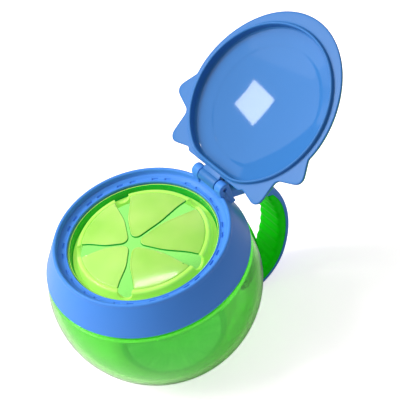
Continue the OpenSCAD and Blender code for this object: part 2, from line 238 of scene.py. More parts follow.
def fillet(corners: Sequence[Triple], steps: int = 6) -> Array:
    """Round the corners of a closed polygon.

    Each corner is replaced by a quadratic curve that leaves one side and meets the other at the radius's
    tangent length, weighted towards a circle.

    Args:
        corners: (x, y, radius) of each corner, in order.
        steps: points on each rounded corner.

    Returns:
        Array (n, 2) of the rounded outline.
    """
    p = np.array([c[:2] for c in corners], float)
    rad = np.array([c[2] for c in corners], float)
    back, ahead = np.roll(p, 1, 0) - p, np.roll(p, -1, 0) - p
    lb, la = np.linalg.norm(back, axis=1), np.linalg.norm(ahead, axis=1)
    back, ahead = back / lb[:, None], ahead / la[:, None]
    half = np.arccos(np.clip((back * ahead).sum(1), -0.9999, 0.9999)) / 2
    # A round takes a little less than half of either side, so that two of them never meet.
    reach = np.minimum(rad / np.tan(half), 0.49 * np.minimum(lb, la))
    t = np.linspace(0.0, 1.0, steps)[None, :, None]
    weight = np.sin(half)[:, None, None]
    a, b = (p + back * reach[:, None])[:, None], (p + ahead * reach[:, None])[:, None]
    mid = p[:, None]
    low = (1 - t) ** 2 + 2 * weight * t * (1 - t) + t**2
    curve = ((1 - t) ** 2 * a + 2 * weight * t * (1 - t) * mid + t**2 * b) / low
    keep = [curve[k] if rad[k] > 0 else p[k : k + 1] for k in range(len(p))]
    return np.concatenate(keep)


def even(line: Array, count: int, closed: bool = True) -> Array:
    """Space points evenly along a line.

    Args:
        line: array (n, 2).
        count: number of points wanted.
        closed: the line returns to its start.

    Returns:
        Array (count, 2).
    """
    run = np.concatenate([line, line[:1]]) if closed else line
    step = np.concatenate([[0.0], np.cumsum(np.linalg.norm(np.diff(run, axis=0), axis=1))])
    at = np.linspace(0.0, step[-1], count, endpoint=not closed)
    return np.stack([np.interp(at, step, run[:, i]) for i in (0, 1)], 1)


def prism(name: str, outline: Array, x0: float, x1: float, ease: float,
          place: Callable[[Array], Array] = lambda points: points,
          bore: tuple[float, float, float, float] | None = None) -> bpy.types.Object:
    """Carry a side outline along X and round both ends.

    A point is (x(v), o(u) - n(u) i(v)): o is the outline, n its outward normal, and i falls from the
    rounding's width to 0 on a quarter circle at each end. A blind hole in the upper end is a run of rings,
    whose points lie at the same angles about the hole's middle as the outline's.

    Args:
        name: name of the piece.
        outline: closed outline, array (n, 2) of Y and Z in millimetres.
        x0: lower end along X.
        x1: upper end along X.
        ease: width of the rounding.
        place: turns the points into place.
        bore: middle (Y, Z), radius and depth of a blind hole in the upper end.

    Returns:
        The new piece.
    """
    a = np.radians(np.linspace(0.0, 90.0, 6))
    x = np.concatenate([x0 + ease * (1 - np.cos(a)), x1 - ease * (1 - np.cos(a[::-1]))])
    inset = ease * np.concatenate([1 - np.sin(a), 1 - np.sin(a[::-1])])
    yz = outline[None] - outward(outline)[None] * inset[:, None, None]
    if bore:
        middle, radius, depth = np.array(bore[:2]), bore[2], bore[3]
        way = yz[-1] - middle
        way /= np.linalg.norm(way, axis=1)[:, None]
        # The hole's mouth flares by 0.25 mm over its first 0.3 mm.
        flare = np.array([0.25, 0.1, 0.03, 0.0, 0.0, 0.0])
        down = np.array([0.0, 0.03, 0.12, 0.3, 0.5 * depth, depth])
        x = np.concatenate([x, x[-1] - down])
        yz = np.concatenate([yz, middle + way[None] * (radius + flare)[:, None, None]])
    points = np.concatenate([np.broadcast_to(x[:, None, None], (*yz.shape[:2], 1)), yz], -1)
    return grid_mesh(name, place(points))


# Finishes


class Polish(Enum):
    """How the mould was finished, as the surface roughness it leaves."""

    MIRROR = 0.06
    GLOSS = 0.16
    SATIN = 0.34


@dataclass(frozen=True)
class Finish:
    """A material: what it is and how its surface was made."""

    name: str
    colour: str

    def shell(self) -> tuple[bpy.types.Material, bpy.types.NodeTree, bpy.types.Node]:
        """Start a node material.

        Returns:
            The material, its tree and its Principled node.
        """
        material = bpy.data.materials.new(self.name)
        material.use_nodes = True
        tree = material.node_tree
        return material, tree, tree.nodes["Principled BSDF"]

    def cloud(self, tree: bpy.types.NodeTree, lump: float, detail: float,
              squeeze: Triple = (1.0, 1.0, 1.0)) -> bpy.types.NodeSocket:
        """Spread a soft pattern over the piece's own coordinates.

        Args:
            tree: the material's tree.
            lump: width of one lump in millimetres.
            detail: finer layers of the pattern.
            squeeze: how much denser the pattern is along each axis.

        Returns:
            The pattern's value, from 0 to 1.
        """
        place = add(tree, "TexCoord").outputs["Object"]
        if squeeze != (1.0, 1.0, 1.0):
            place = add(tree, "Mapping", {"Vector": place, "Scale": squeeze}).outputs["Vector"]
        pattern = add(tree, "TexNoise", {"Vector": place, "Scale": 1 / MM / lump, "Detail": detail})
        return pattern.outputs["Fac"]

    def relief(self, tree: bpy.types.NodeTree, lump: float, depth: float,
               detail: float = 2.0) -> bpy.types.NodeSocket:
        """Raise fine lumps on the surface.

        Args:
            tree: the material's tree.
            lump: width of one lump in millimetres.
            depth: height of the lumps in millimetres.
            detail: finer layers of the pattern.

        Returns:
            The normal to link from.
        """
        bump = add(tree, "Bump", {"Height": self.cloud(tree, lump, detail), "Distance": depth * MM,
                                  "Strength": 1.0})
        return bump.outputs["Normal"]


@dataclass(frozen=True)
class MouldedPolypropylene(Finish):
    """Injection-moulded polypropylene: opaque, waxy gloss, with a faint wave where the melt cooled."""

    polish: Polish = Polish.SATIN
    wave_depth: float = 0.004
    shine: float = 0.5
    pigment_drift: float = 0.035
    gloss_drift: float = 0.03

    def build(self) -> bpy.types.Material:
        """Make the material.

        Returns:
            The new material.
        """
        material, tree, body = self.shell()
        # Colour and gloss drift by a few per cent over about 20 mm, as pigment does in a moulding.
        cloud = self.cloud(tree, 22.0, 3.0)
        base = np.array(linear(self.colour)[:3])
        dark, light = ((*(base * (1.0 + way * self.pigment_drift)), 1.0) for way in (-1.0, 1.0))
        tone = add(tree, "Mix", {"Factor": cloud, 6: dark, 7: light}, data_type="RGBA")
        gloss = add(tree, "MapRange", {"Value": cloud, "To Min": self.polish.value - self.gloss_drift,
                                       "To Max": self.polish.value + self.gloss_drift})
        fill(tree, body, {
            "Base Color": tone.outputs[2], "Roughness": gloss.outputs["Result"], "IOR": 1.49,
            "Specular IOR Level": self.shine, "Normal": self.relief(tree, 1.6, self.wave_depth)})
        return material


@dataclass(frozen=True)
class TintedCopolyester(Finish):
    """Clear tinted copolyester, moulded in a polished tool: it bends light like thin glass."""

    polish: Polish = Polish.MIRROR

    def build(self) -> bpy.types.Material:
        """Make the material.

        Returns:
            The new material.
        """
        material, tree, body = self.shell()
        # Slow waves of about 14 mm in the wall's thickness show as soft streaks.
        fill(tree, body, {
            "Base Color": linear(self.colour), "Transmission Weight": 1.0, "IOR": 1.45,
            "Roughness": self.polish.value, "Normal": self.relief(tree, 14.0, 0.05, 1.0)})
        return material


@dataclass(frozen=True)
class LiquidSilicone(Finish):
    """Liquid silicone rubber, moulded: soft and cloudy, with a slick skin, and with an optional painted glow.
    """

    clear: float = 0.12
    painted_glow: float = 0.0

    def build(self) -> bpy.types.Material:
        """Make the material.

        Returns:
            The new material.
        """
        material, tree, body = self.shell()
        # The sheet's thickness drifts over about 24 mm, and thicker rubber is greener.
        thick = add(tree, "MapRange", {"Value": self.cloud(tree, 24.0, 2.0), "From Min": 0.35,
                                       "From Max": 0.65})
        base = np.array(linear(self.colour))
        deeper = base * np.array([0.74, 0.9, 0.62, 1.0])
        tone = add(tree, "Mix", {"Factor": thick.outputs["Result"], 6: tuple(base), 7: tuple(deeper)},
                   data_type="RGBA")
        # The emission is a painted glow: it brightens the rubber where it lies in shade, though the rubber is
        # no lamp.
        fill(tree, body, {
            "Base Color": tone.outputs[2], "Transmission Weight": self.clear, "IOR": 1.41, "Roughness": 0.12,
            "Subsurface Weight": 0.5, "Subsurface Radius": (1.0, 1.0, 0.5), "Subsurface Scale": 2.5 * MM,
            "Emission Color": linear(self.colour), "Emission Strength": self.painted_glow,
            "Normal": self.relief(tree, 5.0, 0.012)})
        return material


@dataclass(frozen=True)
class ThermoplasticRubber(Finish):
    """Thermoplastic rubber moulded over the strap: matte, with a fine dry grain."""

    def build(self) -> bpy.types.Material:
        """Make the material.

        Returns:
            The new material.
        """
        material, tree, body = self.shell()
        # The real grain is about 0.05 mm; 0.35 mm is the finest that shows.
        fill(tree, body, {
            "Base Color": linear(self.colour), "Roughness": 0.55, "IOR": 1.5, "Specular IOR Level": 0.15,
            "Normal": self.relief(tree, 0.35, 0.01, 1.0)})
        return material


@dataclass(frozen=True)
class DrawnSteel(Finish):
    """Stainless wire, drawn bright: fine scratches run along the pin."""

    def build(self) -> bpy.types.Material:
        """Make the material.

        Returns:
            The new material.
        """
        material, tree, body = self.shell()
        # A scratch is 0.2 mm across and twenty times as long.
        lines = self.cloud(tree, 0.2, 2.0, (0.05, 1.0, 1.0))
        gloss = add(tree, "MapRange", {"Value": lines, "To Min": 0.18, "To Max": 0.4})
        fill(tree, body, {
            "Base Color": linear(self.colour), "Metallic": 1.0, "Roughness": gloss.outputs["Result"]})
        return material


@dataclass(frozen=True)
class StudioPaper(Finish):
    """White studio paper: matte, and lifted towards white for the eye, except where a shadow falls."""

    lift: float = 0.66
    through: float = 0.6

    def build(self) -> bpy.types.Material:
        """Make the material.

        Returns:
            The new material.
        """
        material, tree, body = self.shell()
        tree.nodes.remove(body)
        path = add(tree, "LightPath").outputs
        seen = add(tree, "Math", {0: path["Is Transmission Ray"], 1: self.through, 2: path["Is Camera Ray"]},
                   operation="MULTIPLY_ADD")
        lift = add(tree, "Math", {0: seen.outputs[0], 1: self.lift}, operation="MULTIPLY")
        paper = add(tree, "BsdfDiffuse", {"Color": linear(self.colour)})
        white = add(tree, "Emission", {"Color": (1.0, 1.0, 1.0, 1.0), "Strength": lift.outputs[0]})
        both = add(tree, "AddShader", {0: paper.outputs[0], 1: white.outputs[0]})
        fill(tree, tree.nodes["Material Output"], {"Surface": both.outputs[0]})
        return material


@dataclass(frozen=True)
class Finishes:
    """Every finish of the container."""

    bowl: Finish = TintedCopolyester("copolyester_tinted_clear", "8ee870")
    # The floor's deeper green is partly a thicker wall and partly painted shade.
    bowl_floor: Finish = TintedCopolyester("copolyester_tinted_thick", "58dc60")
    collar: Finish = MouldedPolypropylene("polypropylene_blue_satin", "4c91ea", shine=0.25)
    lid: Finish = MouldedPolypropylene("polypropylene_blue_fine_satin", "3778bf", shine=0.35)
    hollow: Finish = MouldedPolypropylene("polypropylene_blue_polished", "3c7cc2", Polish.MIRROR, 0.0006)
    cover: Finish = MouldedPolypropylene("polypropylene_green_gloss", "27c93a", Polish.GLOSS)
    insert: Finish = LiquidSilicone("silicone_lime", "c8f880")
    # The trough's rubber gets a painted glow that lifts it out of its shade.
    insert_ring: Finish = LiquidSilicone("silicone_lime_trough", "c0f474", painted_glow=0.26)
    # A darker green for upright walls and free edges: partly rubber seen edge-on, partly painted shade.
    insert_painted_shade: Finish = LiquidSilicone("silicone_lime_thick", "08b440", clear=0.1)
    grip: Finish = ThermoplasticRubber("rubber_green_matte", "00f000")
    pin: Finish = DrawnSteel("steel_drawn_bright", "b9bcc2")


# Sub-assemblies


@dataclass
class Part:
    """A sub-assembly: it builds its pieces and dresses them."""

    frame: dict[str, Any]
    finishes: Finishes

    def material(self, finish: Finish) -> bpy.types.Material:
        """The finish's material, made once."""
        return bpy.data.materials.get(finish.name) or finish.build()

    def stand_for(self, piece: bpy.types.Object, body: str, slot: str, finish: Finish, *nodes: str) -> None:
        """Give a piece one finish and let it ride on a body, in place of CAD nodes where they are named.

        Args:
            piece: the new piece.
            body: name of the body that it moves with.
            slot: name of the record's material slot; not used.
            finish: finish of all its faces.
            nodes: names of the CAD nodes that it stands for.
        """
        piece.data.materials.clear()
        piece.data.materials.append(self.material(finish))
        log.info("%s: %s, %d faces", piece.name, finish.name, len(piece.data.polygons))
        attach(piece, body)
        if nodes:
            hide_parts(*nodes)

    def inlay(self, piece: bpy.types.Object, finish: Finish, chosen: Callable[[Array, Array], Array]) -> None:
        """Give some faces of a piece a second finish.

        Args:
            piece: a piece that has its first finish.
            finish: the second finish.
            chosen: picks the faces, from their middles in millimetres and their normals, arrays (n, 3).
        """
        faces = piece.data.polygons
        middle, normal = np.empty(3 * len(faces)), np.empty(3 * len(faces))
        faces.foreach_get("center", middle)
        faces.foreach_get("normal", normal)
        piece.data.materials.append(self.material(finish))
        mask = chosen(middle.reshape(-1, 3) / MM, normal.reshape(-1, 3))
        faces.foreach_set("material_index", mask.astype(int).tolist())
        piece.data.update()

    def eased_copy(self, node: str, name: str, width: float) -> bpy.types.Object:
        """Copy a CAD node, merge its loose triangles and round its edges.

        Args:
            node: the CAD node.
            name: name of the new piece.
            width: width of the rounding in millimetres.

        Returns:
            The new piece.
        """
        flat, sharp = math.radians(0.6), math.radians(38)
        mesh = self.frame["nodes"][node].data.copy()
        mesh.name = name
        work = bmesh.new()
        work.from_mesh(mesh)
        bmesh.ops.remove_doubles(work, verts=work.verts, dist=0.002 * MM)
        bmesh.ops.dissolve_limit(work, angle_limit=flat, verts=work.verts, edges=work.edges)
        work.to_mesh(mesh)
        work.free()
        mesh.polygons.foreach_set("use_smooth", [True] * len(mesh.polygons))
        piece = show(name, mesh)
        ease = piece.modifiers.new("eased edges", "BEVEL")
        ease.width = width * MM
        ease.segments = 3
        ease.limit_method = "ANGLE"
        ease.angle_limit = sharp
        ease.harden_normals = True
        return piece


@dataclass
class Bowl(Part):
    """The round tinted bowl."""

    radius: float = 48.0
    middle: float = 41.511
    wall: float = 2.2
    floor: float = 2.5
    shoulder: float = 55.511
    neck: float = 38.6
    neck_inside: float = 36.4
    neck_top: float = 63.8
    turns: int = 220

    def profile(self) -> Array:
        """Closed outline of the wall, as radius and height.

        It runs along the base, up the outer arc, over the shoulder, the neck and its lip, and down the inner
        arc to the floor. Corners are rounded by 0.7 to 1.2 mm.

        Returns:
            Array (n, 2).
        """
        s, n, i, top = self.shoulder, self.neck, self.neck_inside, self.neck_top
        foot = math.sqrt(self.radius**2 - self.middle**2)
        low = math.atan2(-self.middle, foot)
        high = math.asin((s - self.middle) / self.radius)
        centre = np.array([0.0, self.middle])
        outer = centre + polar(np.linspace(low + 0.03, high - 0.02, 60), self.radius)
        ball = self.radius - self.wall
        ceiling = s - self.wall
        start, stop = (math.asin((z - self.middle) / ball) for z in (ceiling, self.floor))
        inner = centre + polar(np.linspace(start - 0.03, stop + 0.04, 60), ball)
        edge = self.radius * math.cos(high)
        under = math.sqrt(ball**2 - (self.floor - self.middle) ** 2)
        axis = 0.02
        base = [[axis, 0.0], [foot * 0.5, 0.0], [foot - 1.6, 0.0], [foot - 0.6, 0.12], [foot + 0.15, 0.55]]
        rim = [[edge + 0.1, s - 0.35], [edge - 0.35, s - 0.03], [edge - 1.2, s], [n + 0.9, s],
               [n + 0.25, s + 0.25], [n, s + 0.9], [n, top - 0.7], [n - 0.2, top - 0.2], [n - 0.7, top],
               [i + 0.7, top], [i + 0.2, top - 0.2], [i, top - 0.7], [i, ceiling + 0.9],
               [i + 0.3, ceiling + 0.2], [i + 1.2, ceiling]]
        floor = [[under - 0.4, self.floor + 0.12], [under - 1.6, self.floor], [under * 0.5, self.floor],
                 [axis, self.floor]]
        return np.concatenate([base, outer, rim, inner, floor])

    def shell(self) -> bpy.types.Object:
        """Turn the outline round the axis: a point is (r(s) cos a, r(s) sin a, z(s)).

        Returns:
            The shell.
        """
        a = np.linspace(0.0, 2.0 * np.pi, self.turns, endpoint=False)[:, None]
        r, z = self.profile().T[:, None]
        return grid_mesh("bowl_shell", np.stack([r * np.cos(a), r * np.sin(a), z + 0.0 * a], -1), torus=True)

    def build(self) -> None:
        """Make the bowl and let it stand for its solid."""
        piece = self.shell()
        self.stand_for(piece, "bowl", "bowl", self.finishes.bowl, "bowl")
        # The flat floor is thicker than the wall; its deeper green is also painted shade, for the shadow seen
        # through the bowl's bottom.
        self.inlay(piece, self.finishes.bowl_floor, lambda middle, normal: (
            (middle[:, 2] < self.floor + 0.7) & (np.abs(normal[:, 2]) > 0.9)))


@dataclass
class Collar(Part):
    """The blue collar with its ledge, marks and hinge ears, and the pin in them."""

    low: float = 55.811
    skirt: float = 46.27
    wall: float = 1.8
    swell: float = 0.25
    crest_top: float = 70.51
    crest_middle: float = 39.4
    crest_half: float = 0.95
    ledge: float = 67.11
    ledge_rise: float = 0.9
    mouth: float = 34.2
    sleeve_inside: float = 38.9
    sleeve_outside: float = 40.4
    pairs: int = 14
    mark_depth: float = 0.55
    mark_radius: float = 35.95
    mark_turn: float = math.radians(4.8)
    mark_half: float = 1.1
    barrel: float = 3.0
    relief: float = 0.35
    turns: int = 1260

    def profile(self) -> Array:
        """Closed outline of the ring, from the lower edge up the skin, over the crest and down to the sleeve.

        Returns:
            Array (n, 2) of radius and height.
        """
        low, z, m = self.low, self.ledge, self.mouth
        sleeve, back = self.sleeve_inside, self.sleeve_outside
        c, zc = self.crest_half, self.crest_top - self.crest_half
        outer = self.crest_middle + c
        slope = (self.skirt - outer) / (zc - low)
        t = np.linspace(0.0, 1.0, 16)[1:-1]
        # The skin swells between its ends, as a moulded cone does.
        skin = np.stack([self.skirt - (self.skirt - outer) * t + self.swell * np.sin(np.pi * t),
                         low + (zc - low) * t], 1)
        crest = np.array([self.crest_middle, zc]) + polar(np.radians(np.linspace(-6.0, 176.0, 12)), c)
        # The ledge climbs to the crest in its outer 2.3 mm, and is finely divided where the marks lie.
        r = np.array([38.32, 38.1, 37.7, 37.2, 36.95, *np.arange(36.8, 35.19, -0.14), 35.1, 35.0])
        ledge = np.stack([r, z + self.ledge_rise * smooth((r - 35.9) / 2.3)], 1)
        inner = self.skirt - self.wall * math.sqrt(1 + slope**2)
        lip = [[m + 0.66, z + 0.1], [m + 0.55, z + 0.3], [m + 0.4, z + 0.38], [m + 0.25, z + 0.34],
               [m + 0.08, z + 0.15], [m, z - 0.15], [m, z - 1.3], [m + 0.2, z - 1.5]]
        rest = [[sleeve, z - 1.5], [sleeve, low + 0.8], [back, low + 0.8], [back, low + 8.0],
                [inner + 0.2, low + 0.35], [inner + 0.5, low], [self.skirt - 0.5, low],
                [self.skirt - 0.12, low + 0.12]]
        return np.concatenate([[[self.skirt, low + 0.45]], skin, crest, ledge, lip, rest])

    def ring(self) -> bpy.types.Object:
        """Turn the outline round the axis and press the marks and the knuckle's relief into it.

        A point is (r cos a, r sin a, z - d M - e K): M is 1 inside a mark, whose edge is a capsule about 3 mm
        long and 0.85 mm wide, and K cuts the crest by a cylinder about the hinge between the ears.

        Returns:
            The ring.
        """
        outline = self.profile()
        a = np.linspace(0.0, 2 * np.pi, self.turns, endpoint=False)[:, None]
        r, z = outline[None, :, 0], outline[None, :, 1] + 0.0 * a
        step = 2 * np.pi / self.pairs
        # The marks of a pair lie at equal angles either side of the pair's middle.
        from_pair = np.abs((a - np.pi / 2) % step - step / 2)
        off = np.abs(from_pair - self.mark_turn) * r
        far = np.hypot(np.maximum(off - self.mark_half, 0.0), r - self.mark_radius)
        on_ledge = (np.abs(r - 36.0) < 1.0) & (z > self.ledge - 0.5)
        z = z - np.where(on_ledge, self.mark_depth * (1 - smooth((far - 0.3) / 0.24)), 0.0)
        x, y = r * np.cos(a), r * np.sin(a)
        hy, hz = HINGE
        clear = self.barrel + self.relief
        reach = clear**2 - np.minimum(np.abs(y - hy), clear) ** 2
        roof = hz - np.sqrt(reach)
        between = (1 - smooth((np.abs(x) - 5.7) / 0.4)) * (y > 30) * (reach > 0)
        z = z - np.where(z > roof, (z - roof) * between, 0.0)
        return grid_mesh("collar_ring", np.stack([x, y, z], -1), torus=True)

    def ear_outline(self) -> Array:
        """Side outline of an ear: the barrel's circle, let down into the collar with flared feet.

        Returns:
            Closed outline, array (n, 2) of Y and Z.
        """
        hy, hz, b = *HINGE, self.barrel
        circle = np.array(HINGE) + polar(np.radians(np.linspace(-8.0, 188.0, 30)), b)
        feet = fillet([(hy - b - 0.02, hz - 1.2, 0.0), (hy - b + 0.1, self.ledge + 2.2, 1.2),
                       (hy - 1.6, self.ledge - 1.0, 0.5), (hy + 1.2, self.low + 7.6, 0.5),
                       (hy + b + 1.1, self.low + 7.2, 0.6), (hy + b + 0.05, self.low + 11.0, 4.0),
                       (hy + b + 0.02, hz - 1.2, 0.0)], 8)
        return np.concatenate([circle, feet])

    def build(self) -> None:
        """Make the ring, the ears and the block between them, and dress the pin."""
        blue = self.finishes.collar
        self.stand_for(self.ring(), "collar", "collar", blue, "collar")
        ear_from, ear_to, hole = 5.9, 10.3, (*HINGE, 0.95, 1.5)
        for name, side in (("ear_right", 1.0), ("ear_left", -1.0)):
            flip = np.array([side, 1.0, 1.0])
            ear = prism(name, self.ear_outline(), ear_from, ear_to, 0.55, lambda points: points * flip, hole)
            self.stand_for(ear, "collar", "collar", blue)
        hy, top = HINGE[0], self.crest_top - 1.2
        block = fillet([(self.sleeve_inside, self.low + 5.2, 0.4), (hy + 2.6, self.low + 5.0, 0.8),
                        (hy + 3.0, top, 0.9), (self.sleeve_inside, top, 0.3)])
        self.stand_for(prism("hinge_block", block, -7.4, 7.4, 0.5), "collar", "collar", blue)
        pin = self.eased_copy("hinge_pin", "pin", 0.25)
        self.stand_for(pin, "collar", "pin", self.finishes.pin, "hinge_pin")


@dataclass
class FlapInsert(Part):
    """The soft insert: its ring and five flaps."""

    flaps: int = 5
    rim: float = 28.06
    crown: float = 70.01
    edge_height: float = 67.211
    island: float = 28.15
    thick: float = 1.1
    bead: float = 0.18
    star: tuple[float, float] = (0.0, -5.9)
    slot: float = 1.1
    slot_end: float = 6.8
    widen_from: float = 0.42
    tip: float = 3.0
    wall_radius: float = 32.0

    def outline(self, k: int) -> Array:
        """Outline of a flap seen from above.

        Each side runs from the star's middle c to the island's edge at c + t p, set back by half the slot's
        width w(t), which grows from 1.1 mm to 6.8 mm past t = 0.42. The tip is an arc and the root is the
        circle of the island.

        Args:
            k: number of the flap, from 0.

        Returns:
            Closed outline, array (n, 2).
        """
        c = np.array(self.star)
        first_turn, part_turn = math.radians(90.0), 2 * math.pi / self.flaps
        p, q = (polar(first_turn + part_turn * (k + i), self.island) - c for i in (0, 1))
        u, v = p / np.linalg.norm(p), q / np.linalg.norm(q)
        half = math.acos(float(u @ v)) / 2
        h = self.slot / 2
        run = (h + self.tip) / math.tan(half)
        bisector = (u + v) / np.linalg.norm(u + v)
        centre = c + bisector * (h + self.tip) / math.sin(half)
        left, right = (np.array([-w[1], w[0]]) for w in (u, -v))
        start, stop = bearing(c + u * run + left * h - centre), bearing(c + v * run + right * h - centre)
        turn = (start - stop + math.pi) % (2 * math.pi) - math.pi
        arc = centre + polar(stop + turn * np.linspace(0, 1, 26), self.tip)

        def flank(way: Array, side: Array) -> Array:
            """One side of the flap, from the tip's arc out to the root's circle.

            Args:
                way: from the star's middle to the island's edge.
                side: unit direction square to it, into the flap.

            Returns:
                Points of the side, array (n, 2).
            """
            t = np.linspace(run / np.linalg.norm(way), 1.08, 90)[:, None]
            wide = h + (self.slot_end - self.slot) / 2 * smooth((t - self.widen_from) / (1 - self.widen_from))
            line = c + way * t + side * wide
            return line[np.hypot(line[:, 0], line[:, 1]) < self.rim - 0.02][1:]

        first, last = flank(p, left), flank(q, right)
        g0, g1 = bearing(first[-1]), bearing(last[-1])
        root = polar(g0 + ((g1 - g0) % (2 * math.pi)) * np.linspace(0, 1, 60), self.rim)
        return np.concatenate([arc, first, root, last[::-1]])

    def flap(self, k: int) -> bpy.types.Object:
        """Make one flap: a shell on the crown's sphere, from its middle out to the rounded edge and back.

        A point is m + s (o(u) - m), with the height of the sphere over it, so u runs round the outline o and
        s from the middle m to the edge.

        Args:
            k: number of the flap, from 0.

        Returns:
            The flap.
        """
        o = even(self.outline(k), 240)
        # Corners are rounded to about 1 mm by a weighted mean over 6 points either way.
        shift = np.arange(-6, 7)
        weight = np.exp(-0.5 * (shift / 2.4) ** 2)
        o = sum(w * np.roll(o, i, 0) for w, i in zip(weight / weight.sum(), shift))
        m = o.mean(0)
        normal = outward(o)[None]
        rise = self.crown - self.edge_height
        ball = (self.island**2 + rise**2) / (2 * rise)
        low = self.crown - ball
        half = self.thick / 2
        s = np.array([0.004, 0.15, 0.3, 0.45, 0.6, 0.72, 0.82, 0.9, 0.95, 0.975])
        a = np.radians(np.linspace(90.0, -90.0, 11))
        inner = m + s[:, None, None] * ((o - m)[None] - normal * half)
        rim = o[None] + normal * (half * (np.cos(a) - 1.0))[:, None, None]
        flat = np.concatenate([inner, rim, inner[::-1]])
        deep = np.concatenate([np.full(len(s), half), half * np.sin(a), np.full(len(s), -half)])
        # A soft bead runs along the free edges, just inside the rounding.
        bead = np.concatenate([0.0 * s, self.bead * np.clip(np.sin(a), 0, 1), 0.0 * s])
        over = np.sqrt(ball**2 - (flat**2).sum(-1)) + low - half
        free = smooth((self.rim - 1.2 - np.hypot(flat[..., 0], flat[..., 1])) / 1.5)
        z = over + deep[:, None] + bead[:, None] * free
        return grid_mesh(f"flap_{k + 1}_soft", np.concatenate([flat, z[..., None]], -1))

    def build(self) -> None:
        """Round the ring's edges, and make the flaps."""
        ring = self.eased_copy("flap_ring", "insert_ring", 0.3)
        self.stand_for(ring, "insert", "insert", self.finishes.insert_ring, "flap_ring")
        # The darker green on the ring's outer wall and the flaps' free edges is partly the deeper green of
        # rubber seen edge-on and partly painted shade.
        self.inlay(ring, self.finishes.insert_painted_shade, lambda middle, normal: (
            (np.hypot(middle[:, 0], middle[:, 1]) > self.wall_radius) & (np.abs(normal[:, 2]) < 0.8)))
        for k in range(self.flaps):
            flap = self.flap(k)
            self.stand_for(flap, f"flap_{k + 1}", "insert", self.finishes.insert, f"flap_{k + 1}")
            # The flaps' free edges get the same darker green: painted shade, with some deeper green of rubber
            # seen edge-on.
            self.inlay(flap, self.finishes.insert_painted_shade, lambda middle, normal: (
                (np.abs(normal[:, 2]) < 0.7) & (np.hypot(middle[:, 0], middle[:, 1]) < self.rim - 0.4)))


